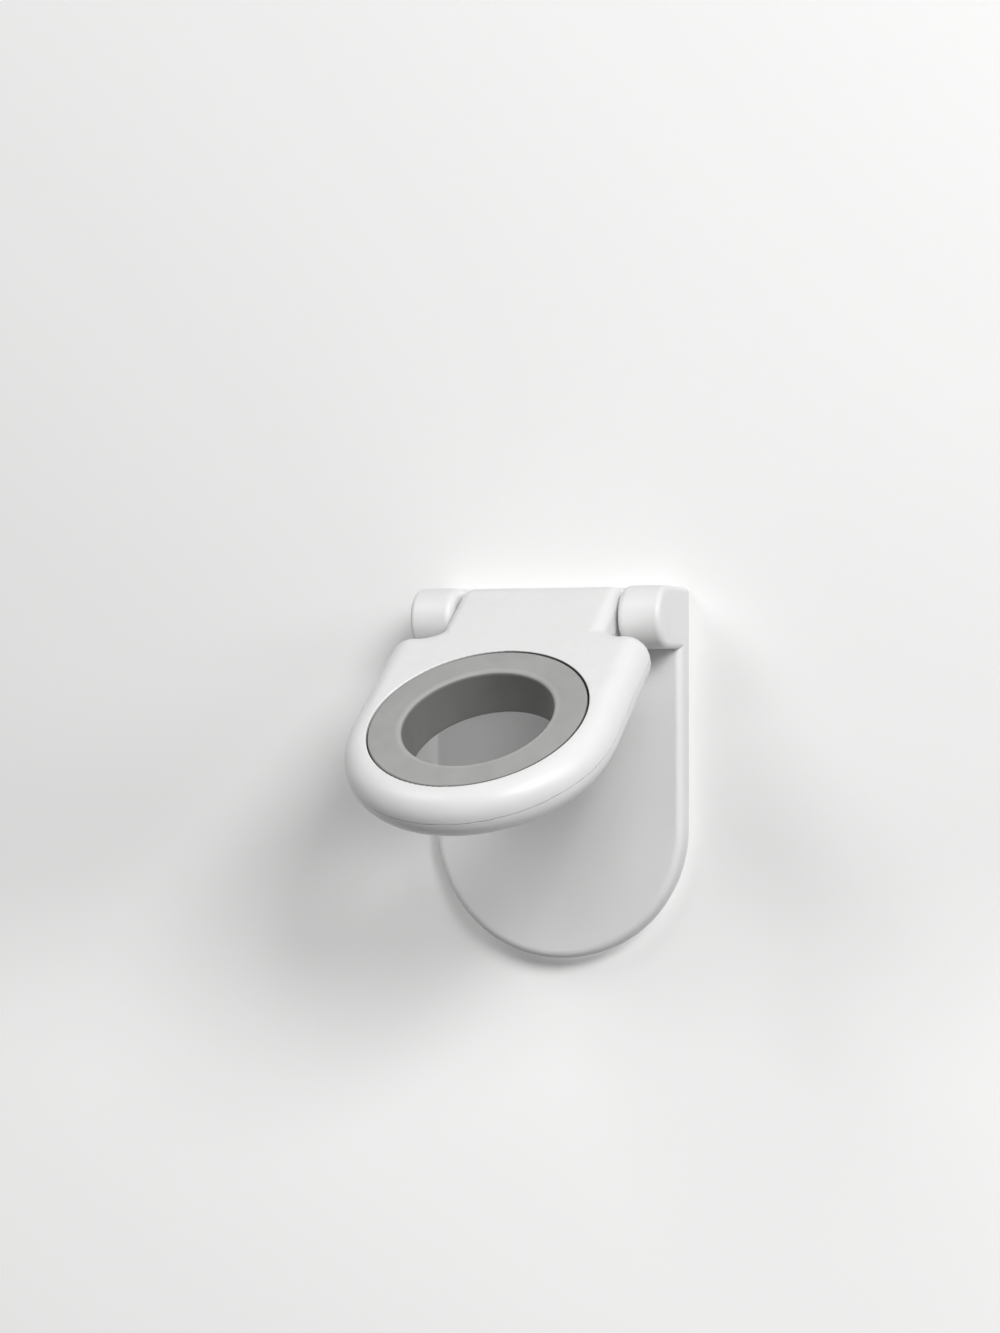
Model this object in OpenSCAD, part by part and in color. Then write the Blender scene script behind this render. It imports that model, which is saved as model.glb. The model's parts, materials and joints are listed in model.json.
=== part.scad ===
// Wall holder for a mop pole. A plate that sticks to the wall carries a folding arm on a hinge.
// The arm frames a soft ring: the pole goes through it, and the tilted ring jams on the pole.
// The origin is the centre of the face on the wall, +Z is up and +Y points into the wall.

/* [Wall plate] */
// Width of the plate and of its round bottom
plate_width = 60; // [54:0.5:68]
// Height of the plate, from the knuckles' top to the round bottom
plate_height = 84.5; // [78:0.5:110]
// Thickness of the plate
plate_thickness = 5; // [4:0.1:6]
// Rounding of the plate's front edge
plate_edge_round = 1.8; // [0.8:0.1:2.4]

/* [Adhesive pad] */
// Thickness of the pad
pad_thickness = 1.5; // [1.1:0.1:2]
// Depth of the pocket in the plate's back that holds the pad
pad_pocket_depth = 1; // [0.4:0.1:1]
// Width of the plate's border around the pocket
pad_border = 2.5; // [1.5:0.1:6]
// Gap between the pad's edge and the pocket's wall
pad_edge_gap = 0.3; // [0.1:0.05:1]

/* [Hinge] */
// Distance of the hinge axis from the wall
hinge_offset = 14.6; // [14:0.1:20]
// Radius of the knuckles on the plate
knuckle_radius = 7.05; // [6:0.05:8]
// Width of each knuckle along the hinge axis
knuckle_width = 10.3; // [7:0.1:12]
// Rounding of a knuckle's inner edge
knuckle_edge_round = 1.8; // [0.4:0.1:2]
// Rounding of a knuckle's outer end
knuckle_end_round = 1.3; // [1:0.1:3]
// Radius of the arm's barrel between the knuckles
barrel_radius = 6.8; // [6:0.05:7.4]
// Gap between a barrel end and its knuckle
barrel_end_gap = 0.75; // [0.3:0.05:1.5]
// Rounding of the barrel's ends and of the neck's edges
barrel_edge_round = 2.8; // [1:0.1:3]

/* [Hinge pin] */
// Radius of the hinge pin
pin_radius = 2; // [1.5:0.05:2.5]
// Radial clearance of the pin in the knuckles
pin_seat_clearance = 0.02; // [0.01:0.01:0.05]
// Radial clearance of the pin in the turning barrel
pin_running_clearance = 0.05; // [0.02:0.01:0.1]
// Depth of the pin's end below the open knuckle's face
pin_recess = 0.6; // [0.3:0.1:2]
// Wall that closes the other knuckle's hole
pin_end_wall = 1.5; // [1:0.1:3]
// Room for the pin's far end in the closed hole
pin_end_room = 0.3; // [0.1:0.1:1]
// Chamfer on the pin's ends
pin_chamfer = 0.4; // [0.2:0.1:0.8]

/* [Arm] */
// Tilt of the arm below level
arm_tilt = 36.7; // [0:0.1:80]
// Width of the arm and of its round end
arm_width = 61; // [58:0.5:68]
// Distance from the hinge axis to the ring's centre
arm_reach = 47; // [46:0.1:60]
// Thickness of the arm
arm_thickness = 11.6; // [11:0.1:12.6]
// Rounding of the arm's outer edges
arm_edge_round = 5.5; // [3.5:0.1:5.5]
// Width of the arm's rim around the ring
rim_width = 5.85; // [5.3:0.05:7]
// Distance from the hinge axis to the back of the arm's shoulders
shoulder_start = 13.6; // [10:0.1:14]
// Rounding of the shells' edges around the ring
seat_edge_round = 0.3; // [0.1:0.05:0.5]
// Wall thickness of the arm's two shells
shell_wall = 2.4; // [1.8:0.1:2.8]
// Width of the seam between the two shells
shell_seam = 0.2; // [0.1:0.05:0.4]
// Distance from the hinge axis to the end of the barrel's thick root
barrel_root_length = 7.7; // [7.2:0.1:9]
// Gap between the barrel's root and the lower shell
barrel_root_gap = 0.3; // [0.2:0.05:0.6]

/* [Locating lip] */
// Thickness of the lower shell's locating lip
lip_thickness = 0.7; // [0.5:0.05:0.9]
// Height of the lip above the seam
lip_height = 1.5; // [0.8:0.1:2]
// Gap between the lip and the upper shell's wall
lip_gap = 0.2; // [0.15:0.05:0.3]

/* [Grip ring] */
// Radius of the hole for the pole
grip_bore_radius = 16.75; // [13:0.25:18]
// Gap between the ring and the arm around it
grip_gap = 0.3; // [0.1:0.05:0.4]
// Depth of the ring's faces below the arm's faces
grip_recess = 0.15; // [0:0.05:0.5]
// Rounding of the hole's two edges
grip_lip_round = 1; // [0.4:0.1:1.6]
// Rounding of the ring's two outer edges
grip_edge_round = 0.4; // [0.2:0.05:0.8]
// Width of the tongue that the shells hold
grip_tongue_width = 1.75; // [1:0.05:1.8]
// Gap around the tongue
grip_tongue_gap = 0.1; // [0.05:0.05:0.3]

/* [Shell screws] */
// Distance of each screw from the arm's side
screw_inset = 9.5; // [8.5:0.1:11]
// Distance of the screws from the hinge axis
screw_distance = 20; // [19.5:0.1:21]
// Radius of a screw's shank
screw_radius = 1.2; // [1:0.05:1.4]
// Radius of a screw's head
screw_head_radius = 2.5; // [2:0.05:2.8]
// Height of a screw's head
screw_head_height = 1.5; // [1:0.1:1.8]
// Depth of a screw's head below the arm's underside
screw_head_recess = 0.4; // [0.2:0.1:0.8]
// Depth to which a screw's tip enters the upper shell
screw_grip = 3.9; // [2.5:0.1:4.2]
// Gap around and beyond the screw in the upper shell's boss
screw_pilot_gap = 0.05; // [0.02:0.01:0.1]
// Gap around the screw in the lower shell
screw_clearance = 0.3; // [0.2:0.05:0.5]
// Wall of the screw bosses
boss_wall = 1.7; // [1.2:0.1:2]
// Width of the cross recess in a screw's head
screw_slot_width = 0.7; // [0.4:0.05:1]
// Depth of the cross recess in a screw's head
screw_slot_depth = 0.8; // [0.4:0.1:1]

/* [Hidden] */
$fn = 96;
cut = 1;
half_width = plate_width / 2;
plate_top = plate_height / 2;
plate_arc_z = half_width - plate_height / 2;
plate_back = pad_thickness - pad_pocket_depth;
plate_front = plate_back + plate_thickness;
hinge_z = plate_top - knuckle_radius;
knuckle_inner = half_width - knuckle_width;
barrel_half = knuckle_inner - barrel_end_gap;
half_arm = arm_width / 2;
half_thick = arm_thickness / 2;
seam_z = barrel_radius - half_thick;
shoulder_end = shoulder_start + arm_edge_round;
lower_start = barrel_root_length + barrel_root_gap;
corner_x = half_arm - arm_edge_round;
neck_fillet = max(cut, min((shoulder_start - lower_start) * 9 / 10, corner_x - barrel_half));
fillet_offset = neck_fillet * 99 / 100;
cavity_height = half_thick - shell_wall;
cavity_round = arm_edge_round - shell_wall;
ring_hole_radius = half_arm - rim_width;
grip_outer_radius = ring_hole_radius - grip_gap;
grip_half = half_thick - grip_recess;
tongue_radius = grip_outer_radius + grip_tongue_width;
tongue_half = cavity_height - grip_tongue_gap;
lip_rise = max(0, lip_height + arm_edge_round - half_thick);
lip_outer = corner_x + sqrt(cavity_round * cavity_round - lip_rise * lip_rise) - lip_gap;
lip_inner = lip_outer - lip_thickness;
lip_foot = half_arm - shell_wall * 3 / 4;
screw_spread = half_arm - screw_inset;
screw_seat = screw_head_recess + screw_head_height - half_thick;
screw_pilot_radius = screw_radius + screw_pilot_gap;
screw_recess_radius = screw_head_radius + screw_clearance;
pin_start = pin_recess - half_width;
pin_stop = half_width - pin_end_wall - pin_end_room;
white_plastic = [0.93, 0.93, 0.92];
grey_rubber = [0.62, 0.62, 0.61];
pad_foam = [0.8, 0.8, 0.78];
steel = [0.72, 0.73, 0.74];

// Places the arm's pieces: x across, y out along the arm, z up from the hinge axis
module on_arm() {
    translate([0, -hinge_offset, hinge_z])
        rotate([arm_tilt, 0, 0])
            rotate([0, 0, 180])
                children();
}

// Raises what is measured from the seam between the arm's two shells
module on_seam() {
    translate([0, 0, seam_z])
        children();
}

// Places two copies where the screws are, measured from the seam
module at_screws() {
    for (side = [-1, 1])
        translate([side * screw_spread, screw_distance, seam_z])
            children();
}

// Lays a section's x and y along y and z, and extrudes it along x
module along_x(length) {
    translate([-length / 2, 0, 0])
        rotate([90, 0, 90])
            linear_extrude(height = length)
                children();
}

// Lays a section's x and y along x and z, and extrudes it along y between two stations
module along_y(start, stop) {
    translate([0, stop, 0])
        rotate([90, 0, 0])
            linear_extrude(height = stop - start)
                children();
}

// Turns a section about the x axis, its x being the radius and its y the place along the axis
module about_x(turn, sweep) {
    rotate([0, 90, 0])
        rotate([0, 0, turn])
            rotate_extrude(angle = sweep)
                children();
}

// The waste outside a rounded corner: a turn of 0 is the upper right corner, 90 the upper left
module corner_waste(x, y, radius, turn) {
    translate([x, y])
        rotate(turn)
            translate([-radius, -radius])
                difference() {
                    square(radius + cut);
                    circle(r = radius);
                }
}

// Rectangle whose upper right corner is rounded
module edge_section(start, edge, low, high, radius) {
    difference() {
        translate([start, low])
            square([edge - start, high - low]);
        corner_waste(edge, high, radius, 0);
    }
}

// Rectangle on both sides of x = 0, its two upper corners rounded
module slab_section(edge, low, high, radius) {
    difference() {
        translate([-edge, low])
            square([2 * edge, high - low]);
        corner_waste(edge, high, radius, 0);
        corner_waste(-edge, high, radius, 90);
    }
}

// Outline of the plate, or of what lies a border inside it
module plate_outline(border) {
    translate([border - half_width, plate_arc_z])
        square([2 * (half_width - border), plate_top - plate_arc_z - border]);
    translate([0, plate_arc_z])
        circle(r = half_width - border);
}

// Section of a knuckle along its axis, from a height up to its radius, its upper corners rounded
module knuckle_section(low, right_round, left_round) {
    difference() {
        translate([-knuckle_width / 2, low])
            square([knuckle_width, knuckle_radius - low]);
        corner_waste(knuckle_width / 2, knuckle_radius, right_round, 0);
        corner_waste(-knuckle_width / 2, knuckle_radius, left_round, 90);
    }
}

// One knuckle: a block from the plate to the hinge axis, then a round front
module knuckle(side) {
    right_round = side > 0 ? knuckle_end_round : knuckle_edge_round;
    left_round = side > 0 ? knuckle_edge_round : knuckle_end_round;
    translate([side * (half_width - knuckle_width / 2), 0, hinge_z]) {
        translate([0, -plate_back, 0])
            rotate([90, 0, 0])
                linear_extrude(height = hinge_offset - plate_back) {
                    knuckle_section(0, right_round, left_round);
                    rotate(180)
                        knuckle_section(0, left_round, right_round);
                }
        translate([0, -hinge_offset, 0])
            about_x(180, 180)
                rotate(-90)
                    knuckle_section(0, left_round, right_round);
    }
}

// Plate with a rounded front edge, hinge knuckles and a shallow pocket for the pad
module wall_plate() {
    color(white_plastic)
        difference() {
            union() {
                translate([0, 0, plate_arc_z])
                    linear_extrude(height = hinge_z - plate_arc_z)
                        rotate(180)
                            slab_section(half_width, plate_back, plate_front, plate_edge_round);
                along_x(plate_width - knuckle_width)
                    rotate(90)
                        edge_section(hinge_z - cut, plate_top, plate_back, plate_front, plate_edge_round);
                translate([0, 0, plate_arc_z])
                    rotate([90, 0, 0])
                        rotate([0, 0, 180])
                            rotate_extrude(angle = 180)
                                edge_section(0, half_width, plate_back, plate_front, plate_edge_round);
                for (side = [-1, 1])
                    knuckle(side);
            }
            translate([0, -plate_back + cut, 0])
                rotate([90, 0, 0])
                    linear_extrude(height = pad_pocket_depth + cut)
                        plate_outline(pad_border);
            translate([-half_width - cut, -hinge_offset, hinge_z])
                rotate([0, 90, 0])
                    cylinder(h = plate_width + cut - pin_end_wall, r = pin_radius + pin_seat_clearance);
        }
}

// Foam pad that fills the plate's pocket and meets the wall
module adhesive_pad() {
    color(pad_foam)
        rotate([90, 0, 0])
            linear_extrude(height = pad_thickness)
                plate_outline(pad_border + pad_edge_gap);
}

// Steel pin with chamfered ends
module hinge_pin() {
    color(steel)
        translate([pin_start, -hinge_offset, hinge_z])
            rotate([0, 90, 0])
                rotate_extrude()
                    polygon([
                        [0, 0],
                        [pin_radius - pin_chamfer, 0],
                        [pin_radius, pin_chamfer],
                        [pin_radius, pin_stop - pin_start - pin_chamfer],
                        [pin_radius - pin_chamfer, pin_stop - pin_start],
                        [0, pin_stop - pin_start]
                    ]);
}

// Half of the arm's slab above the seam, from the shoulders to the round end, shrunk by a wall
module half_slab(wall, low) {
    high = half_thick - wall;
    radius = arm_edge_round - wall;
    along_y(shoulder_end, arm_reach)
        slab_section(half_arm - wall, low, high, radius);
    translate([0, arm_reach, 0])
        rotate_extrude(angle = 180)
            edge_section(0, half_arm - wall, low, high, radius);
    along_y(arm_reach - cut, arm_reach + cut)
        translate([-corner_x, low])
            square([2 * corner_x, high - low]);
    along_x(2 * corner_x)
        difference() {
            translate([shoulder_end - radius, low])
                square([radius + cut, high - low]);
            corner_waste(shoulder_end - radius, high, radius, 90);
        }
    for (side = [-1, 1])
        translate([side * corner_x, shoulder_end, 0])
            rotate_extrude()
                edge_section(0, radius, low, high, radius);
}

// Fillets above the seam in the inner corners between the neck and the shoulders
module neck_fillets() {
    for (side = [0, 1])
        mirror([side, 0, 0])
            translate([barrel_half + fillet_offset, shoulder_start - fillet_offset, 0])
                rotate([0, 0, 90])
                    rotate_extrude(angle = 90)
                        difference() {
                            translate([neck_fillet, shell_seam / 2])
                                square([2 * arm_edge_round, half_thick - shell_seam / 2]);
                            corner_waste(neck_fillet, half_thick, arm_edge_round, 90);
                        }
}

// Half of the arm as a tray above the seam, with a neck that starts at the given station
module half_tray(neck_start) {
    difference() {
        union() {
            half_slab(0, shell_seam / 2);
            along_y(neck_start, shoulder_end)
                slab_section(barrel_half, shell_seam / 2, half_thick, barrel_edge_round);
            neck_fillets();
        }
        half_slab(shell_wall, -cut);
    }
}

// Room for the ring and its tongue in a shell above the seam, down to the given depth
module ring_room(depth) {
    translate([0, arm_reach, -depth]) {
        cylinder(h = half_thick + depth + cut, r = ring_hole_radius);
        cylinder(h = cavity_height + depth, r = tongue_radius + grip_tongue_gap);
        translate([0, 0, depth])
            rotate_extrude()
                corner_waste(ring_hole_radius, half_thick, seat_edge_round, 90);
    }
}

// Barrel without its upper front quarter, which the neck fills, and the neck's thick root
module barrel() {
    about_x(180, 270)
        rotate(-90)
            slab_section(barrel_half, pin_radius / 2, barrel_radius, barrel_edge_round);
    along_y(0, barrel_root_length)
        translate([-barrel_half, 0])
            square([2 * barrel_half, barrel_radius - barrel_edge_round]);
}

// Upper half of the arm with the hinge barrel and two blind bosses
module arm_upper_shell() {
    color(white_plastic)
        on_arm()
            difference() {
                union() {
                    on_seam()
                        half_tray(0);
                    barrel();
                    at_screws()
                        cylinder(h = half_thick - shell_wall / 2, r = screw_radius + boss_wall);
                }
                on_seam()
                    ring_room(cut);
                rotate([0, 90, 0])
                    cylinder(h = plate_width, r = pin_radius + pin_running_clearance, center = true);
                at_screws()
                    translate([0, 0, -cut])
                        cylinder(h = screw_grip + screw_pilot_gap + cut, r = screw_pilot_radius);
            }
}

// Section of the locating lip: a blade above the seam on a thick foot that joins the wall
module lip_section() {
    translate([lip_inner, -cavity_height]) {
        square([lip_thickness, cavity_height + lip_height]);
        square([lip_foot - lip_inner, cavity_height - shell_seam / 2]);
    }
}

// Lower half of the arm with sunk screw seats and a locating lip round the end
module arm_lower_shell() {
    color(white_plastic)
        on_arm()
            difference() {
                union() {
                    on_seam() {
                        rotate([0, 180, 0])
                            half_tray(lower_start);
                        translate([0, arm_reach, 0])
                            rotate_extrude(angle = 180)
                                lip_section();
                    }
                    at_screws()
                        translate([0, 0, shell_wall / 2 - half_thick])
                            cylinder(h = half_thick - shell_wall / 2, r = screw_recess_radius + boss_wall);
                }
                on_seam()
                    rotate([0, 180, 0]) {
                        ring_room(lip_height + cut);
                        along_x(arm_width)
                            corner_waste(lower_start, half_thick, barrel_edge_round, 90);
                    }
                at_screws() {
                    translate([0, 0, -half_thick - cut])
                        cylinder(h = screw_seat + half_thick + cut, r = screw_recess_radius);
                    translate([0, 0, -half_thick])
                        cylinder(h = half_thick + cut, r = screw_radius + screw_clearance);
                }
            }
}

// Soft ring with rounded hole edges and a tongue that the two shells trap
module grip_ring() {
    color(grey_rubber)
        on_arm()
            translate([0, arm_reach, seam_z])
                rotate_extrude() {
                    difference() {
                        translate([grip_bore_radius, -grip_half])
                            square([grip_outer_radius - grip_bore_radius, 2 * grip_half]);
                        corner_waste(grip_bore_radius, grip_half, grip_lip_round, 90);
                        corner_waste(grip_bore_radius, -grip_half, grip_lip_round, 180);
                        corner_waste(grip_outer_radius, grip_half, grip_edge_round, 0);
                        corner_waste(grip_outer_radius, -grip_half, grip_edge_round, 270);
                    }
                    translate([grip_bore_radius + grip_lip_round, -tongue_half])
                        square([tongue_radius - grip_bore_radius - grip_lip_round, 2 * tongue_half]);
                }
}

// Two pan-head screws with a cross recess, heads down
module shell_screws() {
    color(steel)
        on_arm()
            at_screws()
                translate([0, 0, screw_seat])
                    difference() {
                        union() {
                            translate([0, 0, -screw_head_height])
                                cylinder(h = screw_head_height, r = screw_head_radius);
                            cylinder(h = screw_grip - screw_seat, r = screw_radius);
                        }
                        for (turn = [0, 90])
                            rotate([0, 0, turn])
                                translate([
                                    -screw_head_radius / 2,
                                    -screw_slot_width / 2,
                                    -screw_head_height - cut
                                ])
                                    cube([screw_head_radius, screw_slot_width, screw_slot_depth + cut]);
                    }
}

wall_plate();
adhesive_pad();
hinge_pin();
arm_upper_shell();
arm_lower_shell();
grip_ring();
shell_screws();
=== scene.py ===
import bmesh
import bpy
import json
import math
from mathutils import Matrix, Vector, noise


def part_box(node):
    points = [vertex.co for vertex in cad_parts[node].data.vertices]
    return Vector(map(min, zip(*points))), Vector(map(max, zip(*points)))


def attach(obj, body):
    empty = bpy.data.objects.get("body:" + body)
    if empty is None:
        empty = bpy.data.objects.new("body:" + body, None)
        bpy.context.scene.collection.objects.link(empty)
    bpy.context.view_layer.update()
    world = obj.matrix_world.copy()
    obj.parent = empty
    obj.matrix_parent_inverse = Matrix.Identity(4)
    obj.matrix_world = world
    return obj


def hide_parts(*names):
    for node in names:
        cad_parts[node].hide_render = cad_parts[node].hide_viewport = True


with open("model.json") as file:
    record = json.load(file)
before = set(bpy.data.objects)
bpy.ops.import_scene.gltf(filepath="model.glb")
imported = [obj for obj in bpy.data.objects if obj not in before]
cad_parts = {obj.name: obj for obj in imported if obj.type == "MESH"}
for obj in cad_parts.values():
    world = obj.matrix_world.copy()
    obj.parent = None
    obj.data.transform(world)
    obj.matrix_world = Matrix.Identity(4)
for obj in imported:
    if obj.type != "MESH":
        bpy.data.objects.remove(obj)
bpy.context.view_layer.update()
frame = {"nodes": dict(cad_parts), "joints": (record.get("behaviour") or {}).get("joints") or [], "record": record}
nodes = frame["nodes"]
scene = bpy.context.scene
scene.view_settings.view_transform = "Standard"
print("frame loaded:", ", ".join(sorted(nodes)))

# the hinge and the ring's hole as the record gives them; the arm's own directions follow
hingePoint = Vector(frame["joints"][0]["pos_m"])
ringMount = next(mount for mount in frame["record"]["mounts"] if mount["name"] == "pole_hole")
ringCentre = Vector(ringMount["pos_m"])
sideways = Vector((1, 0, 0))
armUp = Vector(ringMount["axis"]).normalized()
armOut = sideways.cross(armUp)

cameraSet = {
    "aim": (-0.004673, -0.030, 0.023941),
    "distance": 0.800,
    "yaw": 20.748,
    "pitch": -1.230,
    "lens": 97.003,
    "nearest": 0.01,
    "farthest": 20,
}


def placeCamera(values):
    yaw, pitch = math.radians(values["yaw"]), math.radians(values["pitch"])
    back = Vector((math.sin(yaw) * math.cos(pitch), -math.cos(yaw) * math.cos(pitch), math.sin(pitch)))
    data = bpy.data.cameras.new("photoCamera")
    data.lens = values["lens"]
    data.clip_start, data.clip_end = values["nearest"], values["farthest"]
    camera = bpy.data.objects.new("photoCamera", data)
    scene.collection.objects.link(camera)
    camera.rotation_mode = "QUATERNION"
    camera.location = Vector(values["aim"]) + back * values["distance"]
    camera.rotation_quaternion = (-back).to_track_quat("-Z", "Y")
    scene.camera = camera


placeCamera(cameraSet)


# short calls for building shader and geometry trees
class NodeSheet:
    def __init__(self, tree):
        self.tree = tree

    def add(self, kind, inputs=None, **fields):
        made = self.tree.nodes.new(kind)
        for name, value in fields.items():
            setattr(made, name, value)
        for name, value in (inputs or {}).items():
            self.put(made.inputs[name], value)
        return made

    def put(self, socket, value):
        if isinstance(value, bpy.types.NodeSocket):
            self.tree.links.new(value, socket)
        else:
            socket.default_value = value

    def math(self, operation, first, second=0.0, clamp=False):
        made = self.tree.nodes.new("ShaderNodeMath")
        made.operation, made.use_clamp = operation, clamp
        self.put(made.inputs[0], first)
        self.put(made.inputs[1], second)
        return made.outputs[0]

    def span(self, value, low, high, outLow=0.0, outHigh=1.0, smooth=True):
        made = self.tree.nodes.new("ShaderNodeMapRange")
        made.interpolation_type = "SMOOTHSTEP" if smooth else "LINEAR"
        for name, number in (("From Min", low), ("From Max", high), ("To Min", outLow), ("To Max", outHigh)):
            self.put(made.inputs[name], number)
        self.put(made.inputs["Value"], value)
        return made.outputs["Result"]

    def mix(self, factor, first, second):
        made = self.tree.nodes.new("ShaderNodeMix")
        made.data_type = "RGBA"
        self.put(made.inputs[0], factor)
        self.put(made.inputs[6], first)
        self.put(made.inputs[7], second)
        return made.outputs[2]

    # how far a place lies from a point, along one direction
    def along(self, place, point, direction):
        moved = self.add("ShaderNodeVectorMath", {0: place, 1: tuple(point)}, operation="SUBTRACT")
        made = self.add("ShaderNodeVectorMath", {0: moved.outputs["Vector"], 1: tuple(direction)},
                        operation="DOT_PRODUCT")
        return made.outputs["Value"]

    def length(self, first, second):
        squares = [self.math("MULTIPLY", value, value) for value in (first, second)]
        return self.math("SQRT", self.math("ADD", squares[0], squares[1]))


def newGroup(kind, name, inputs, outputs):
    tree = bpy.data.node_groups.new(name, kind)
    for label, socketKind, value in inputs:
        socket = tree.interface.new_socket(name=label, in_out="INPUT", socket_type="NodeSocket" + socketKind)
        if value is not None:
            socket.default_value = value
    for label, socketKind in outputs:
        tree.interface.new_socket(name=label, in_out="OUTPUT", socket_type="NodeSocket" + socketKind)
    return NodeSheet(tree), tree.nodes.new("NodeGroupInput").outputs, tree.nodes.new("NodeGroupOutput").inputs


grainForm = {
    "fineDetail": 2.0, "fineRough": 0.6,
    "cloudDetail": 3.0, "cloudRough": 0.55, "cloudTwist": 0.6, "cloudLow": 0.3, "cloudHigh": 0.7,
}


# fine skin of a moulding, and slow clouds in its tone
def makeMouldGrain(values):
    sheet, given, out = newGroup(
        "ShaderNodeTree", "mouldGrain",
        [("Vector", "Vector", None), ("Grain Size", "Float", 0.0003), ("Cloud Size", "Float", 0.012)],
        [("Height", "Float"), ("Cloud", "Float")])
    fine = sheet.add("ShaderNodeTexNoise", {
        "Vector": given["Vector"], "Detail": values["fineDetail"], "Roughness": values["fineRough"],
        "Scale": sheet.math("DIVIDE", 1.0, given["Grain Size"])})
    cloud = sheet.add("ShaderNodeTexNoise", {
        "Vector": given["Vector"], "Detail": values["cloudDetail"], "Roughness": values["cloudRough"],
        "Distortion": values["cloudTwist"], "Scale": sheet.math("DIVIDE", 1.0, given["Cloud Size"])})
    sheet.put(out["Height"], fine.outputs["Fac"])
    sheet.put(out["Cloud"], sheet.span(cloud.outputs["Fac"], values["cloudLow"], values["cloudHigh"]))
    return sheet.tree


scuffForm = {
    "turnAxis": (0.3, 0.5, 0.8), "stretch": (1.0, 22.0, 22.0),
    "lineDetail": 1.0, "lineLow": 0.64, "lineHigh": 0.74,
    "patchScale": 70.0, "patchDetail": 2.0, "patchLow": 0.46, "patchHigh": 0.66,
}


# hair-fine rub marks in one direction, gathered in patches
def makeFineScuffs(values):
    sheet, given, out = newGroup(
        "ShaderNodeTree", "fineScuffs",
        [("Vector", "Vector", None), ("Length", "Float", 0.008), ("Turn", "Float", 0.6),
         ("Amount", "Float", 0.5)],
        [("Mask", "Float")])
    turned = sheet.add("ShaderNodeVectorRotate", {
        "Vector": given["Vector"], "Axis": values["turnAxis"], "Angle": given["Turn"]})
    drawn = sheet.add("ShaderNodeVectorMath", {0: turned.outputs["Vector"], 1: values["stretch"]},
                      operation="MULTIPLY")
    lines = sheet.add("ShaderNodeTexNoise", {
        "Vector": drawn.outputs["Vector"], "Detail": values["lineDetail"],
        "Scale": sheet.math("DIVIDE", 1.0, given["Length"])})
    patches = sheet.add("ShaderNodeTexNoise", {
        "Vector": given["Vector"], "Scale": values["patchScale"], "Detail": values["patchDetail"]})
    thin = sheet.span(lines.outputs["Fac"], values["lineLow"], values["lineHigh"])
    kept = sheet.span(patches.outputs["Fac"], values["patchLow"], values["patchHigh"])
    sheet.put(out["Mask"], sheet.math(
        "MULTIPLY", sheet.math("MULTIPLY", thin, kept), given["Amount"], clamp=True))
    return sheet.tree


dustForm = {
    "upLow": 0.35, "upHigh": 1.0, "speckScale": 420.0, "speckDetail": 5.0, "speckRough": 0.75,
    "filmLow": 0.42, "filmHigh": 0.75, "roughGain": 0.35,
}


# a thin film of dust on what faces up
def makeSettledDust(values):
    sheet, given, out = newGroup(
        "ShaderNodeTree", "settledDust",
        [("Vector", "Vector", None), ("Color", "Color", (1, 1, 1, 1)),
         ("Dust Color", "Color", (0.5, 0.48, 0.44, 1)), ("Roughness", "Float", 0.4),
         ("Amount", "Float", 0.2)],
        [("Color", "Color"), ("Roughness", "Float")])
    facing = sheet.add("ShaderNodeSeparateXYZ", {"Vector": sheet.add("ShaderNodeTexCoord").outputs["Normal"]})
    upward = sheet.span(facing.outputs["Z"], values["upLow"], values["upHigh"])
    specks = sheet.add("ShaderNodeTexNoise", {
        "Vector": given["Vector"], "Scale": values["speckScale"], "Detail": values["speckDetail"],
        "Roughness": values["speckRough"]})
    film = sheet.span(specks.outputs["Fac"], values["filmLow"], values["filmHigh"])
    mask = sheet.math("MULTIPLY", sheet.math("MULTIPLY", upward, film), given["Amount"], clamp=True)
    sheet.put(out["Color"], sheet.mix(mask, given["Color"], given["Dust Color"]))
    sheet.put(out["Roughness"], sheet.math(
        "ADD", given["Roughness"], sheet.math("MULTIPLY", mask, values["roughGain"]), clamp=True))
    return sheet.tree


latheForm = {
    "rippleScale": 900.0, "rippleDetail": 2.0,
    "streakScale": 1.3, "streakDetail": 2.0, "streakLow": 0.35, "streakHigh": 0.65,
}


# rings that a lathe leaves around an axis, from two distances square to it
def makeLatheMarks(values):
    sheet, given, out = newGroup(
        "ShaderNodeTree", "latheMarks",
        [("Vector", "Vector", None), ("Across", "Float", 0.0), ("Along", "Float", 0.0),
         ("Pitch", "Float", 0.0002)],
        [("Height", "Float"), ("Streak", "Float")])
    turns = sheet.math("DIVIDE", sheet.length(given["Across"], given["Along"]), given["Pitch"])
    ripple = sheet.add("ShaderNodeTexNoise", {
        "Vector": given["Vector"], "Scale": values["rippleScale"], "Detail": values["rippleDetail"]})
    shaken = sheet.math("ADD", turns, ripple.outputs["Fac"])
    wave = sheet.math("SINE", sheet.math("MULTIPLY", shaken, 2 * math.pi))
    streak = sheet.add("ShaderNodeTexNoise", {
        "W": turns, "Scale": values["streakScale"], "Detail": values["streakDetail"]}, noise_dimensions="1D")
    sheet.put(out["Height"], sheet.span(wave, -1.0, 1.0, smooth=False))
    sheet.put(out["Streak"], sheet.span(streak.outputs["Fac"], values["streakLow"], values["streakHigh"]))
    return sheet.tree


mouldGrain, fineScuffs = makeMouldGrain(grainForm), makeFineScuffs(scuffForm)
settledDust, latheMarks = makeSettledDust(dustForm), makeLatheMarks(latheForm)
print("shared effects ready")


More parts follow.
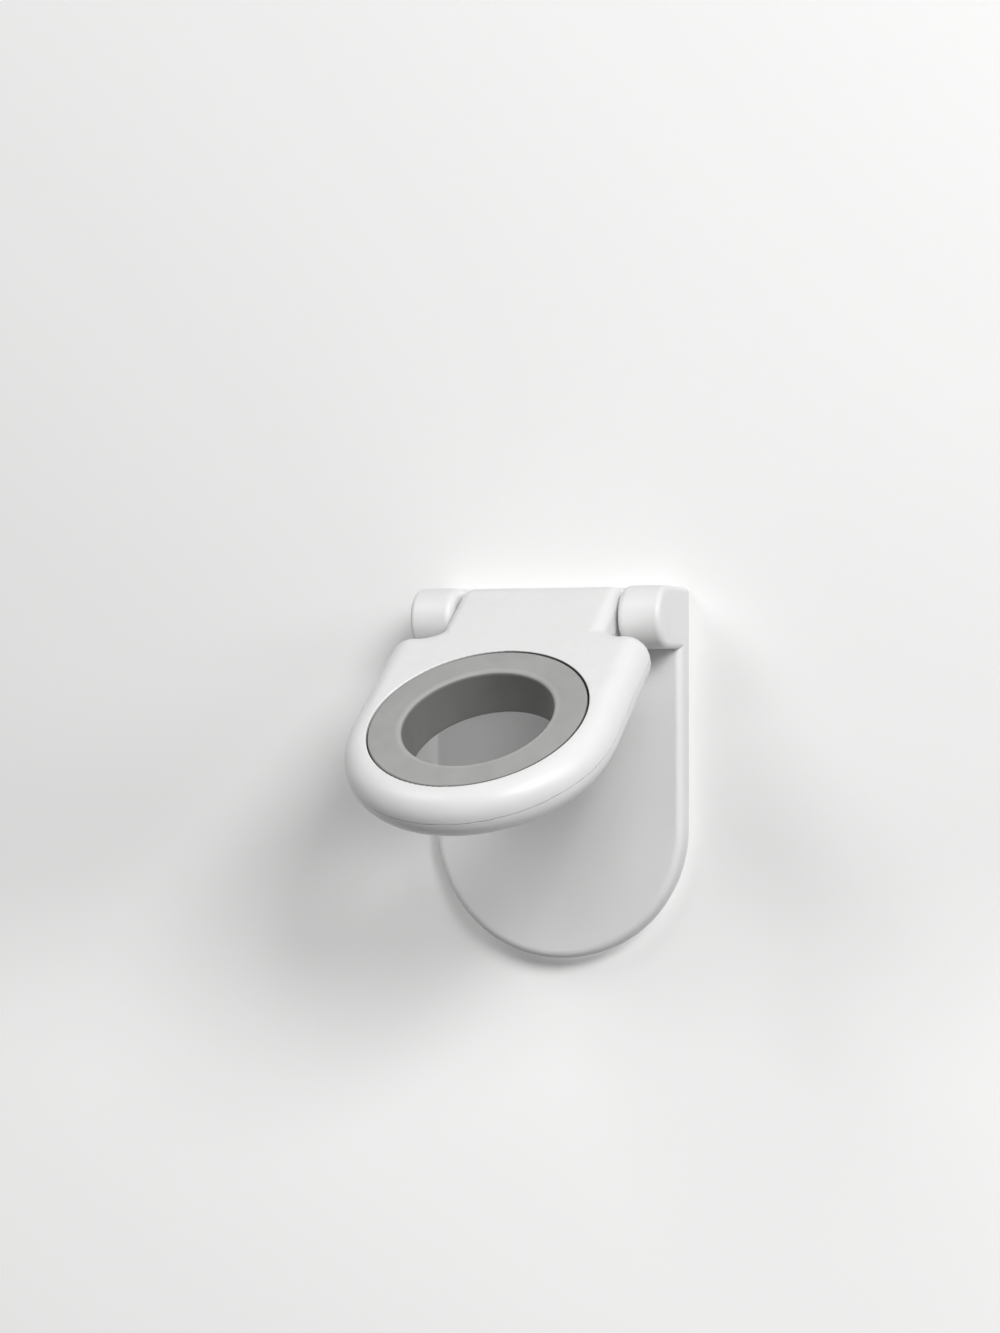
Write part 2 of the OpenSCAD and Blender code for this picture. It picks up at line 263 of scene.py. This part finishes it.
def startMaterial(name):
    material = bpy.data.materials.new(name)
    material.use_nodes = True
    material.node_tree.nodes.clear()
    sheet = NodeSheet(material.node_tree)
    shader = sheet.add("ShaderNodeBsdfPrincipled")
    output = sheet.add("ShaderNodeOutputMaterial")
    sheet.put(output.inputs["Surface"], shader.outputs["BSDF"])
    place = sheet.add("ShaderNodeTexCoord").outputs["Object"]
    return material, sheet, shader, place


def placeGroup(sheet, group, inputs):
    made = sheet.add("ShaderNodeGroup", node_tree=group)
    for name, value in inputs.items():
        sheet.put(made.inputs[name], value)
    return made.outputs


def addBump(sheet, shader, height, strength, depth):
    bump = sheet.add("ShaderNodeBump", {"Strength": strength, "Distance": depth, "Height": height})
    sheet.put(shader.inputs["Normal"], bump.outputs["Normal"])


# smallest and largest distance of a node's upper part from the ring's axis
def measureRadii(nodeName, share):
    points = [vertex.co - ringCentre for vertex in nodes[nodeName].data.vertices]
    heights = [point.dot(armUp) for point in points]
    least = share * max(heights)
    radii = [math.hypot(point.x, point.dot(armOut))
             for point, height in zip(points, heights) if height > least]
    return min(radii), max(radii)


gapForm = {"upperShare": 0.7, "fullShadeReach": 0.5, "weakSideShade": 0.35}
ringRadii = measureRadii("grip_ring", gapForm["upperShare"])
seatRadius = measureRadii("arm_upper_shell", gapForm["upperShare"])[0]


def ringDistance(sheet, place):
    return sheet.length(sheet.along(place, ringCentre, sideways), sheet.along(place, ringCentre, armOut))


# how much painted shade shows in the gap around the ring: full towards +x, weaker towards -x
def gapShadeShare(sheet, place, amount):
    return sheet.span(sheet.along(place, ringCentre, sideways), -seatRadius,
                      seatRadius * gapForm["fullShadeReach"], amount * gapForm["weakSideShade"], amount)


armPlastic = {
    "colour": (0.832, 0.834, 0.830, 1), "colourCloud": (0.815, 0.817, 0.812, 1),
    "scuffColour": (0.76, 0.757, 0.75, 1), "seamShadeColour": (0.52, 0.515, 0.50, 1),
    "rough": 0.34, "roughCloud": 0.41, "grain": 0.00035, "grainDepth": 0.00001, "bump": 0.35,
    "cloud": 0.014, "dust": 0.08, "ior": 1.53,
    "scuffs": 0.35, "scuffLength": 0.009, "scuffTurn": 0.5, "scuffTint": 0.5, "scuffRough": 0.25,
    "seam": 0.07, "seamHalf": 0.00045, "seamStart": 0.0078, "seamFade": 0.001,
    "gap": 0.9, "gapShadeColour": (0.10, 0.10, 0.097, 1), "gapDepth": 0.00012, "gapFull": 0.2,
}
platePlastic = {
    "colour": (0.825, 0.827, 0.822, 1), "colourCloud": (0.808, 0.810, 0.805, 1),
    "scuffColour": (0.76, 0.757, 0.75, 1),
    "rough": 0.37, "roughCloud": 0.44, "grain": 0.00040, "grainDepth": 0.000014, "bump": 0.4,
    "cloud": 0.018, "dust": 0.10, "ior": 1.53,
    "scuffs": 0.3, "scuffLength": 0.010, "scuffTurn": 1.4, "scuffTint": 0.5, "scuffRough": 0.25,
}


def makeWhitePlastic(name, values):
    material, sheet, shader, place = startMaterial(name)
    grain = placeGroup(sheet, mouldGrain, {
        "Vector": place, "Grain Size": values["grain"], "Cloud Size": values["cloud"]})
    scuffs = placeGroup(sheet, fineScuffs, {
        "Vector": place, "Length": values["scuffLength"], "Turn": values["scuffTurn"],
        "Amount": values["scuffs"]})
    tinted = sheet.mix(grain["Cloud"], values["colour"], values["colourCloud"])
    scuffed = sheet.math("MULTIPLY", scuffs["Mask"], values["scuffTint"])
    shade = sheet.mix(scuffed, tinted, values["scuffColour"])
    if "seam" in values:
        # painted shade beside the joint of the two shells, which lies in the plane of the ring's middle
        fromSeam = sheet.math("ABSOLUTE", sheet.along(place, ringCentre, armUp))
        seamStart = values["seamStart"]
        fromHinge = sheet.along(place, hingePoint, armOut)
        pastRoot = sheet.span(fromHinge, seamStart, seamStart + values["seamFade"])
        seamShadeMask = sheet.math("MULTIPLY", sheet.span(fromSeam, values["seamHalf"], 0.0), pastRoot)
        shade = sheet.mix(sheet.math("MULTIPLY", seamShadeMask, values["seam"]), shade, values["seamShadeColour"])
        # painted shade in the gap around the ring
        gapDepth = values["gapDepth"]
        gapShadeMask = sheet.span(ringDistance(sheet, place), seatRadius + gapDepth,
                           seatRadius + gapDepth * values["gapFull"])
        shade = sheet.mix(sheet.math("MULTIPLY", gapShadeMask, gapShadeShare(sheet, place, values["gap"])),
                          shade, values["gapShadeColour"])
    rough = sheet.span(grain["Cloud"], 0.0, 1.0, values["rough"], values["roughCloud"], smooth=False)
    rough = sheet.math("ADD", rough, sheet.math("MULTIPLY", scuffs["Mask"], values["scuffRough"]), clamp=True)
    dust = placeGroup(sheet, settledDust, {
        "Vector": place, "Color": shade, "Roughness": rough, "Amount": values["dust"]})
    sheet.put(shader.inputs["Base Color"], dust["Color"])
    sheet.put(shader.inputs["Roughness"], dust["Roughness"])
    addBump(sheet, shader, grain["Height"], values["bump"], values["grainDepth"])
    shader.inputs["IOR"].default_value = values["ior"]
    return material


gripRubber = {
    "colour": (0.375, 0.375, 0.365, 1), "colourCloud": (0.345, 0.345, 0.337, 1),
    "rubbed": (0.46, 0.46, 0.45, 1), "inside": (0.07, 0.07, 0.068, 1),
    "rough": 0.58, "roughCloud": 0.68, "grain": 0.00022, "grainDepth": 0.00003, "bump": 0.5,
    "cloud": 0.010, "dust": 0.10, "ior": 1.5, "boreRadius": ringRadii[0], "lipRound": 0.001,
    "rubStart": 0.00005, "rubFull": 0.5, "rubEase": 0.9, "rubEnd": 1.8, "rubTint": 0.4, "rubPolish": 0.16,
    "wallStart": 0.00002, "wallEnd": 0.35, "boreShadeTint": 0.7,
    "gapShadeColour": (0.05, 0.05, 0.048, 1), "gap": 0.9, "outerRadius": ringRadii[1], "gapWidth": 0.0003,
    "gapFull": 0.3,
}


def makeGripRubber(name, values):
    material, sheet, shader, place = startMaterial(name)
    grain = placeGroup(sheet, mouldGrain, {
        "Vector": place, "Grain Size": values["grain"], "Cloud Size": values["cloud"]})
    # wear on the lip and the painted shade on the bore's wall follow the hole's edge, so they go by the distance
    # from the ring's axis
    radius = ringDistance(sheet, place)
    bore, lip = values["boreRadius"], values["lipRound"]
    onLip = sheet.math(
        "MULTIPLY", sheet.span(radius, bore + values["rubStart"], bore + lip * values["rubFull"]),
        sheet.span(radius, bore + lip * values["rubEnd"], bore + lip * values["rubEase"]))
    # painted shade: the bore's inner wall is darkened towards near black
    boreShadeMask = sheet.span(radius, bore + lip * values["wallEnd"], bore + values["wallStart"])
    tinted = sheet.mix(grain["Cloud"], values["colour"], values["colourCloud"])
    lipped = sheet.mix(sheet.math("MULTIPLY", onLip, values["rubTint"]), tinted, values["rubbed"])
    walled = sheet.mix(sheet.math("MULTIPLY", boreShadeMask, values["boreShadeTint"]), lipped, values["inside"])
    outer, gapWidth = values["outerRadius"], values["gapWidth"]
    # painted shade: the ring's outer edge darkens towards near black where it meets the gap
    gapShadeMask = sheet.math("MULTIPLY", sheet.span(radius, outer - gapWidth, outer - gapWidth * values["gapFull"]),
                       gapShadeShare(sheet, place, values["gap"]))
    edged = sheet.mix(gapShadeMask, walled, values["gapShadeColour"])
    rough = sheet.span(grain["Cloud"], 0.0, 1.0, values["rough"], values["roughCloud"], smooth=False)
    rough = sheet.math("SUBTRACT", rough, sheet.math("MULTIPLY", onLip, values["rubPolish"]), clamp=True)
    dust = placeGroup(sheet, settledDust, {
        "Vector": place, "Color": edged, "Roughness": rough, "Amount": values["dust"]})
    sheet.put(shader.inputs["Base Color"], dust["Color"])
    sheet.put(shader.inputs["Roughness"], dust["Roughness"])
    addBump(sheet, shader, grain["Height"], values["bump"], values["grainDepth"])
    shader.inputs["IOR"].default_value = values["ior"]
    return material


pinSteel = {
    "colour": (0.56, 0.565, 0.57, 1), "colourStreak": (0.46, 0.465, 0.47, 1),
    "rough": 0.24, "roughStreak": 0.40, "pitch": 0.00018, "markDepth": 0.000006, "bump": 0.6,
}
screwSteel = {
    "colour": (0.60, 0.60, 0.59, 1), "colourStreak": (0.50, 0.50, 0.49, 1),
    "rough": 0.28, "roughStreak": 0.44, "pitch": 0.00022, "markDepth": 0.000008, "bump": 0.6,
}


# across and along are given as functions of the sheet and the place, square to the turning axis
def makeTurnedSteel(name, values, across, along):
    material, sheet, shader, place = startMaterial(name)
    marks = placeGroup(sheet, latheMarks, {
        "Vector": place, "Across": across(sheet, place), "Along": along(sheet, place),
        "Pitch": values["pitch"]})
    toned = sheet.mix(marks["Streak"], values["colour"], values["colourStreak"])
    sheet.put(shader.inputs["Base Color"], toned)
    sheet.put(shader.inputs["Roughness"], sheet.span(
        marks["Streak"], 0.0, 1.0, values["rough"], values["roughStreak"], smooth=False))
    addBump(sheet, shader, marks["Height"], values["bump"], values["markDepth"])
    shader.inputs["Metallic"].default_value = 1.0
    return material


padFoam = {
    "colour": (0.60, 0.60, 0.575, 1), "colourCloud": (0.54, 0.54, 0.515, 1), "cell": 0.00035,
    "rough": 0.88, "filmRough": 0.34, "cellDepth": 0.00006, "bump": 0.6, "cloud": 0.009, "filmCoat": 0.6,
    "filmLow": 0.6, "filmHigh": 0.95, "filmLeast": 0.55,
    "poreColour": (0.7, 0.7, 0.7, 1), "poreLow": 0.05, "poreHigh": 0.45, "poreLeast": 0.86,
}


def makePadFoam(name, values):
    material, sheet, shader, place = startMaterial(name)
    grain = placeGroup(sheet, mouldGrain, {
        "Vector": place, "Grain Size": values["cell"], "Cloud Size": values["cloud"]})
    cells = sheet.add("ShaderNodeTexVoronoi", {"Vector": place, "Scale": 1 / values["cell"]})
    # the tacky film is on the face that meets the wall, and it wets the foam in clouds
    facing = sheet.add("ShaderNodeSeparateXYZ", {"Vector": sheet.add("ShaderNodeTexCoord").outputs["Normal"]})
    film = sheet.math("MULTIPLY", sheet.span(facing.outputs["Y"], values["filmLow"], values["filmHigh"]),
                      sheet.span(grain["Cloud"], 0.0, 1.0, values["filmLeast"], 1.0))
    foam = sheet.mix(grain["Cloud"], values["colour"], values["colourCloud"])
    pores = sheet.span(cells.outputs["Distance"], values["poreLow"], values["poreHigh"],
                       values["poreLeast"], 1.0)
    shade = sheet.mix(pores, values["poreColour"], (1, 1, 1, 1))
    toned = sheet.add("ShaderNodeMix", {0: 1.0, 6: foam, 7: shade},
                      data_type="RGBA", blend_type="MULTIPLY").outputs[2]
    sheet.put(shader.inputs["Base Color"], toned)
    sheet.put(shader.inputs["Roughness"], sheet.span(
        film, 0.0, 1.0, values["rough"], values["filmRough"], smooth=False))
    sheet.put(shader.inputs["Coat Weight"], sheet.math("MULTIPLY", film, values["filmCoat"]))
    addBump(sheet, shader, cells.outputs["Distance"], values["bump"], values["cellDepth"])
    return material


finishes = {
    "wall_plate": makeWhitePlastic("plateWhite", platePlastic),
    "arm_upper_shell": makeWhitePlastic("armWhite", armPlastic),
    "arm_lower_shell": bpy.data.materials["armWhite"],
    "grip_ring": makeGripRubber("gripGrey", gripRubber),
    "hinge_pin": makeTurnedSteel(
        "pinSteel", pinSteel,
        lambda sheet, place: sheet.along(place, hingePoint, (0, 1, 0)),
        lambda sheet, place: sheet.along(place, hingePoint, (0, 0, 1))),
}
for nodeName, material in finishes.items():
    mesh = nodes[nodeName].data
    mesh.materials.clear()
    mesh.materials.append(material)
print("finishes on", len(finishes), "nodes")


screwSteps = {
    "rimShare": 0.9, "clearOfSeat": 0.0005,
    "headSides": 64, "headSteps": 2, "headRings": 10, "crownPower": 4.0,
    "shankSides": 32, "turnSteps": 24, "ridgeSides": 4, "threadEnds": 3.0,
}


# the two screws of the arm, measured on their solids
def measureScrews():
    points = [vertex.co - ringCentre for vertex in nodes["shell_screws"].data.vertices]
    right = [point for point in points if point.x > 0]
    spread = (min(point.x for point in right) + max(point.x for point in right)) / 2
    outs = [point.dot(armOut) for point in right]
    middle = (min(outs) + max(outs)) / 2
    heights = [point.dot(armUp) for point in right]
    radii = [math.hypot(point.x - spread, point.dot(armOut) - middle) for point in right]
    headRadius = max(radii)
    rim, clear = headRadius * screwSteps["rimShare"], screwSteps["clearOfSeat"]
    seat = max(height for height, radius in zip(heights, radii) if radius > rim)
    return {
        "spread": spread, "middle": middle, "seat": seat, "headRadius": headRadius,
        "headHeight": seat - min(heights), "shankLength": max(heights) - seat,
        "shankRadius": max(radius for height, radius in zip(heights, radii) if height > seat + clear),
    }


screwForm = measureScrews()
screwSet = {
    "Head Radius": screwForm["headRadius"], "Head Height": screwForm["headHeight"],
    "Shank Radius": screwForm["shankRadius"], "Shank Length": screwForm["shankLength"],
    "Crown": 0.00055, "Wing Length": 0.0030, "Wing Width": 0.00062, "Wing Depth": 0.0009,
    "Thread Depth": 0.00022, "Thread Turns": 6.0,
}


# one pan-head screw, head up, its seat at the origin, placed on each point of the base mesh
def makeScrewTree(material):
    inputs = [("Geometry", "Geometry", None), ("Head Direction", "Vector", None)]
    inputs += [(label, "Float", value) for label, value in screwSet.items()]
    sheet, given, out = newGroup("GeometryNodeTree", "panHeadScrews", inputs, [("Geometry", "Geometry")])
    blank = sheet.add("GeometryNodeMeshCylinder", {
        "Vertices": screwSteps["headSides"], "Side Segments": screwSteps["headSteps"],
        "Fill Segments": screwSteps["headRings"], "Radius": given["Head Radius"],
        "Depth": given["Head Height"]})
    # the crown falls away with a power of the distance from the axis
    spot = sheet.add("GeometryNodeInputPosition").outputs[0]
    parts = sheet.add("ShaderNodeSeparateXYZ", {"Vector": spot}).outputs
    share = sheet.math("DIVIDE", sheet.length(parts["X"], parts["Y"]), given["Head Radius"])
    fall = sheet.math("MULTIPLY", sheet.math("POWER", share, screwSteps["crownPower"]), given["Crown"])
    drop = sheet.add("ShaderNodeCombineXYZ", {"Z": sheet.math("MULTIPLY", fall, -1.0)})
    crowned = sheet.add("GeometryNodeSetPosition", {
        "Geometry": blank.outputs["Mesh"], "Selection": blank.outputs["Top"],
        "Offset": drop.outputs["Vector"]})
    halfHead = sheet.math("MULTIPLY", given["Head Height"], 0.5)
    head = sheet.add("GeometryNodeTransform", {
        "Geometry": crowned.outputs["Geometry"],
        "Translation": sheet.add("ShaderNodeCombineXYZ", {"Z": halfHead}).outputs["Vector"]})
    cutHead = sheet.add("GeometryNodeMeshBoolean", operation="DIFFERENCE", solver="EXACT")
    sheet.put(cutHead.inputs["Mesh 1"], head.outputs["Geometry"])
    doubleDepth = sheet.math("MULTIPLY", given["Wing Depth"], 2.0)
    for size in (("Wing Length", "Wing Width"), ("Wing Width", "Wing Length")):
        box = sheet.add("GeometryNodeMeshCube", {"Size": sheet.add("ShaderNodeCombineXYZ", {
            "X": given[size[0]], "Y": given[size[1]], "Z": doubleDepth}).outputs["Vector"]})
        lifted = sheet.add("GeometryNodeTransform", {
            "Geometry": box.outputs["Mesh"],
            "Translation": sheet.add("ShaderNodeCombineXYZ", {"Z": given["Head Height"]}).outputs["Vector"]})
        sheet.put(cutHead.inputs["Mesh 2"], lifted.outputs["Geometry"])
    # the shank's core, and the thread along a spiral on it
    coreRadius = sheet.math("SUBTRACT", given["Shank Radius"], given["Thread Depth"])
    core = sheet.add("GeometryNodeMeshCylinder", {
        "Vertices": screwSteps["shankSides"], "Radius": coreRadius, "Depth": given["Shank Length"]})
    halfShank = sheet.math("MULTIPLY", given["Shank Length"], -0.5)
    shank = sheet.add("GeometryNodeTransform", {
        "Geometry": core.outputs["Mesh"],
        "Translation": sheet.add("ShaderNodeCombineXYZ", {"Z": halfShank}).outputs["Vector"]})
    bare = sheet.math("MULTIPLY", given["Thread Depth"], screwSteps["threadEnds"])
    threadSpan = sheet.math("SUBTRACT", given["Shank Length"], bare)
    spiral = sheet.add("GeometryNodeCurveSpiral", {
        "Resolution": screwSteps["turnSteps"], "Rotations": given["Thread Turns"],
        "Start Radius": coreRadius, "End Radius": coreRadius, "Height": threadSpan})
    ridge = sheet.add("GeometryNodeCurvePrimitiveCircle", {
        "Resolution": screwSteps["ridgeSides"], "Radius": given["Thread Depth"]})
    thread = sheet.add("GeometryNodeCurveToMesh", {
        "Curve": spiral.outputs["Curve"], "Profile Curve": ridge.outputs["Curve"], "Fill Caps": True})
    threadStart = sheet.math("MULTIPLY", sheet.math("ADD", given["Shank Length"], threadSpan), -0.5)
    wound = sheet.add("GeometryNodeTransform", {
        "Geometry": thread.outputs["Mesh"],
        "Translation": sheet.add("ShaderNodeCombineXYZ", {"Z": threadStart}).outputs["Vector"]})
    whole = sheet.add("GeometryNodeJoinGeometry")
    for part in (cutHead.outputs["Mesh"], shank.outputs["Geometry"], wound.outputs["Geometry"]):
        sheet.put(whole.inputs["Geometry"], part)
    turn = sheet.add("FunctionNodeAlignRotationToVector", {"Vector": given["Head Direction"]}, axis="Z")
    copies = sheet.add("GeometryNodeInstanceOnPoints", {
        "Points": given["Geometry"], "Instance": whole.outputs["Geometry"],
        "Rotation": turn.outputs["Rotation"]})
    real = sheet.add("GeometryNodeRealizeInstances", {"Geometry": copies.outputs["Instances"]})
    finish = sheet.add("GeometryNodeSetMaterial", {
        "Geometry": real.outputs["Geometry"], "Material": material})
    sheet.put(out["Geometry"], finish.outputs["Geometry"])
    return sheet.tree


# runs a tree on a few points and keeps the result as a plain mesh
def growPiece(name, points, tree, inputs):
    base = bpy.data.meshes.new(name + "Points")
    base.from_pydata(points, [], [])
    holder = bpy.data.objects.new(name + "Points", base)
    scene.collection.objects.link(holder)
    modifier = holder.modifiers.new("grow", "NODES")
    modifier.node_group = tree
    sockets = {item.name: item.identifier for item in tree.interface.items_tree
               if item.item_type == "SOCKET" and item.in_out == "INPUT"}
    for label, value in inputs.items():
        modifier[sockets[label]] = value
    graph = bpy.context.evaluated_depsgraph_get()
    mesh = bpy.data.meshes.new_from_object(holder.evaluated_get(graph), depsgraph=graph)
    holder.modifiers.remove(modifier)
    bpy.data.objects.remove(holder)
    mesh.name = name
    piece = bpy.data.objects.new(name, mesh)
    scene.collection.objects.link(piece)
    return piece


def makeScrews():
    form = screwForm
    material = makeTurnedSteel(
        "screwSteel", screwSteel,
        lambda sheet, place: sheet.math("SUBTRACT", sheet.math(
            "ABSOLUTE", sheet.along(place, ringCentre, sideways)), form["spread"]),
        lambda sheet, place: sheet.math("SUBTRACT", sheet.along(place, ringCentre, armOut), form["middle"]))
    seats = [ringCentre + sideways * side * form["spread"] + armOut * form["middle"] + armUp * form["seat"]
             for side in (-1, 1)]
    inputs = dict(screwSet)
    inputs["Head Direction"] = tuple(-armUp)
    screws = growPiece("shellScrews", seats, makeScrewTree(material), inputs)
    for face in screws.data.polygons:
        face.use_smooth = False
    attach(screws, "arm")
    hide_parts("shell_screws")
    return screws


screws = makeScrews()
print("screws:", len(screws.data.polygons), "faces")


padSet = {
    "cornerRound": 0.0015,   # the top corners of the die-cut outline
    "edgeTuck": 0.00035,     # how far the two faces' edges are drawn in
    "tuckDepth": 0.0003,     # thickness over which the edge swells out again
    "leastCorner": 0.0002, "faceEnd": 0.002, "pucker": 0.00005, "puckerSize": 0.007,
    "arcSteps": 48, "cornerSteps": 8, "sideSteps": 40, "edgeSteps": 6, "ringStep": 0.0011,
}


# outline of the pad, drawn in by an inset: square top with small corner rounds, half-round bottom
def padOutline(halfWidth, bottom, top, inset, values):
    half, high = halfWidth - inset, top - inset
    arcCentre = bottom + halfWidth
    corner = min(max(values["cornerRound"] - inset, values["leastCorner"]), half / 2)
    points = []
    for step in range(values["arcSteps"]):
        angle = math.pi + math.pi * step / values["arcSteps"]
        points.append((half * math.cos(angle), arcCentre + half * math.sin(angle)))
    for step in range(values["sideSteps"]):
        share = step / values["sideSteps"]
        points.append((half, arcCentre + (high - corner - arcCentre) * share))
    for side, start in ((1, 0.0), (-1, math.pi / 2)):
        for step in range(values["cornerSteps"] + 1):
            angle = start + math.pi / 2 * step / values["cornerSteps"]
            points.append((side * (half - corner) + corner * math.cos(angle),
                           high - corner + corner * math.sin(angle)))
        if side > 0:
            for step in range(1, values["sideSteps"]):
                share = step / values["sideSteps"]
                points.append((half - corner - 2 * (half - corner) * share, high))
    for step in range(1, values["sideSteps"]):
        share = 1 - step / values["sideSteps"]
        points.append((-half, arcCentre + (high - corner - arcCentre) * share))
    return points


def makePad(values, material):
    low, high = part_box("adhesive_pad")
    halfWidth, front, back = high[0], low[1], high[1]
    tuck, depth = values["edgeTuck"], values["tuckDepth"]
    # inset and depth of each ring, from the middle of the front face round the edge to the middle of the back
    faceRings = []
    inset = tuck
    while inset < halfWidth - values["faceEnd"]:
        faceRings.append(inset)
        inset += values["ringStep"]
    edge = []
    for step in range(1, values["edgeSteps"]):
        angle = math.pi / 2 * step / values["edgeSteps"]
        edge.append((tuck * (1 - math.sin(angle)), depth * (1 - math.cos(angle))))
    rings = [(inset, front) for inset in reversed(faceRings)]
    rings += [(pulled, front + into) for pulled, into in edge] + [(0.0, front + depth), (0.0, back - depth)]
    rings += [(pulled, back - into) for pulled, into in reversed(edge)]
    rings += [(inset, back) for inset in faceRings]
    form = bmesh.new()
    loops = []
    for inset, y in rings:
        loop = []
        for x, z in padOutline(halfWidth, low[2], high[2], inset, values):
            # the back face puckers a little, always away from the wall
            wave = noise.noise(Vector((x, 0.0, z)) / values["puckerSize"]) * 0.5 + 0.5
            rise = values["pucker"] * wave if y == back else 0.0
            loop.append(form.verts.new((x, y - rise, z)))
        loops.append(loop)
    count = len(loops[0])
    for first, second in zip(loops, loops[1:]):
        for index in range(count):
            after = (index + 1) % count
            form.faces.new((first[index], first[after], second[after], second[index]))
    form.faces.new(loops[0])
    form.faces.new(list(reversed(loops[-1])))
    bmesh.ops.recalc_face_normals(form, faces=form.faces)
    mesh = bpy.data.meshes.new("foamPad")
    form.to_mesh(mesh)
    form.free()
    mesh.materials.append(material)
    for face in mesh.polygons:
        face.use_smooth = True
    pad = bpy.data.objects.new("foamPad", mesh)
    scene.collection.objects.link(pad)
    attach(pad, "wall_mount")
    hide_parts("adhesive_pad")
    return pad


pad = makePad(padSet, makePadFoam("padFoam", padFoam))
print("foam pad:", len(pad.data.polygons), "faces")


# a pale wall behind the plate, seen from its front only
stageSet = {
    "paint": (0.90, 0.90, 0.895, 1), "back": (0.86, 0.86, 0.86, 1),
    "glowAbove": 0.08, "glowBelow": 0.24, "glowHigh": -0.01, "glowLow": -0.075,
    "wallAt": 0.0003, "reach": 1.6, "fadeStart": 0.28, "fadeEnd": 0.55,
}


def seenRays(sheet):
    path = sheet.add("ShaderNodeLightPath").outputs
    seen = sheet.math("MAXIMUM", path["Is Camera Ray"], path["Is Glossy Ray"])
    return sheet.math("MAXIMUM", seen, path["Is Transmission Ray"])


def makeStageMaterial(name, values):
    material = bpy.data.materials.new(name)
    material.use_nodes = True
    material.node_tree.nodes.clear()
    sheet = NodeSheet(material.node_tree)
    paint = sheet.add("ShaderNodeBsdfDiffuse", {"Color": values["paint"]})
    # the glow lifts the lower wall, which the lamps leave darker
    place = sheet.add("ShaderNodeTexCoord").outputs["Object"]
    parts = sheet.add("ShaderNodeSeparateXYZ", {"Vector": place}).outputs
    paleness = sheet.span(parts["Z"], values["glowLow"], values["glowHigh"],
                          values["glowBelow"], values["glowAbove"])
    glow = sheet.add("ShaderNodeEmission", {"Color": values["paint"], "Strength": paleness})
    pale = sheet.add("ShaderNodeAddShader", {0: paint.outputs["BSDF"], 1: glow.outputs["Emission"]})
    # far from the object the wall passes into the plain background
    far = sheet.span(sheet.length(parts["X"], parts["Z"]), values["fadeStart"], values["fadeEnd"])
    faded = sheet.math("MULTIPLY", far, sheet.add("ShaderNodeLightPath").outputs["Is Camera Ray"])
    plain = sheet.add("ShaderNodeEmission", {"Color": values["back"], "Strength": 1.0})
    wall = sheet.add("ShaderNodeMixShader", {
        0: faded, 1: pale.outputs["Shader"], 2: plain.outputs["Emission"]})
    clear = sheet.add("ShaderNodeBsdfTransparent")
    behind = sheet.add("ShaderNodeNewGeometry").outputs["Backfacing"]
    shown = sheet.math("MULTIPLY", seenRays(sheet), sheet.math("SUBTRACT", 1.0, behind))
    chosen = sheet.add("ShaderNodeMixShader", {0: shown, 1: clear.outputs["BSDF"], 2: wall.outputs["Shader"]})
    output = sheet.add("ShaderNodeOutputMaterial")
    sheet.put(output.inputs["Surface"], chosen.outputs["Shader"])
    return material


def makeSheet(name, corners, material):
    mesh = bpy.data.meshes.new(name)
    mesh.from_pydata(corners, [], [(0, 1, 2, 3)])
    mesh.materials.append(material)
    made = bpy.data.objects.new(name, mesh)
    scene.collection.objects.link(made)


stagePaint = makeStageMaterial("stagePaint", stageSet)
reach, wallAt = stageSet["reach"], stageSet["wallAt"]
makeSheet("stageWall", [(-reach, wallAt, -reach), (reach, wallAt, -reach),
                        (reach, wallAt, reach), (-reach, wallAt, reach)], stagePaint)

lightSet = {
    "above": 0.0, "below": 0.155, "wallBounce": 0.41, "roomSpan": 0.6, "wallSpan": 0.05,
    "lamps": {
        "keyLamp": {"from": (0.70, -0.83, 0.51), "size": 0.45, "watts": 7.4},
        "frontLamp": {"from": (0.45, -0.96, 0.56), "size": 0.45, "watts": 3.0},
        "sideLamp": {"from": (1.00, -0.36, 0.30), "size": 0.40, "watts": 1.95},
        "leftLamp": {"from": (-0.62, -0.70, 0.78), "size": 0.60, "watts": 3.9},
        "backLamp": {"from": (0.00, 1.00, 0.25), "size": 0.60, "watts": 3.0},
    },
}


def placeLamp(name, values):
    data = bpy.data.lights.new(name, "AREA")
    data.shape = "DISK"
    data.size, data.energy = values["size"], values["watts"]
    lamp = bpy.data.objects.new(name, data)
    scene.collection.objects.link(lamp)
    lamp.location = values["from"]
    lamp.rotation_mode = "QUATERNION"
    lamp.rotation_quaternion = (ringCentre - lamp.location).to_track_quat("-Z", "Y")


def makeWorld(values):
    world = bpy.data.worlds.new("studioWorld")
    world.use_nodes = True
    world.node_tree.nodes.clear()
    sheet = NodeSheet(world.node_tree)
    way = sheet.add("ShaderNodeSeparateXYZ", {
        "Vector": sheet.add("ShaderNodeTexCoord").outputs["Generated"]}).outputs
    # a dim room before the object, and what little comes round from the wall behind it
    roomSpan, wallSpan = values["roomSpan"], values["wallSpan"]
    room = sheet.span(way["Z"], -roomSpan, roomSpan, values["below"], values["above"])
    towardsWall = sheet.span(way["Y"], -wallSpan, wallSpan)
    level = sheet.span(towardsWall, 0.0, 1.0, room, values["wallBounce"], smooth=False)
    fill = sheet.add("ShaderNodeBackground", {"Color": (1, 1, 1, 1), "Strength": level})
    back = sheet.add("ShaderNodeBackground", {"Color": stageSet["back"], "Strength": 1.0})
    mixed = sheet.add("ShaderNodeMixShader", {
        0: seenRays(sheet), 1: fill.outputs["Background"], 2: back.outputs["Background"]})
    output = sheet.add("ShaderNodeOutputWorld")
    sheet.put(output.inputs["Surface"], mixed.outputs["Shader"])
    scene.world = world


for lampName, lampValues in lightSet["lamps"].items():
    placeLamp(lampName, lampValues)
makeWorld(lightSet)
print("stage and lamps placed")
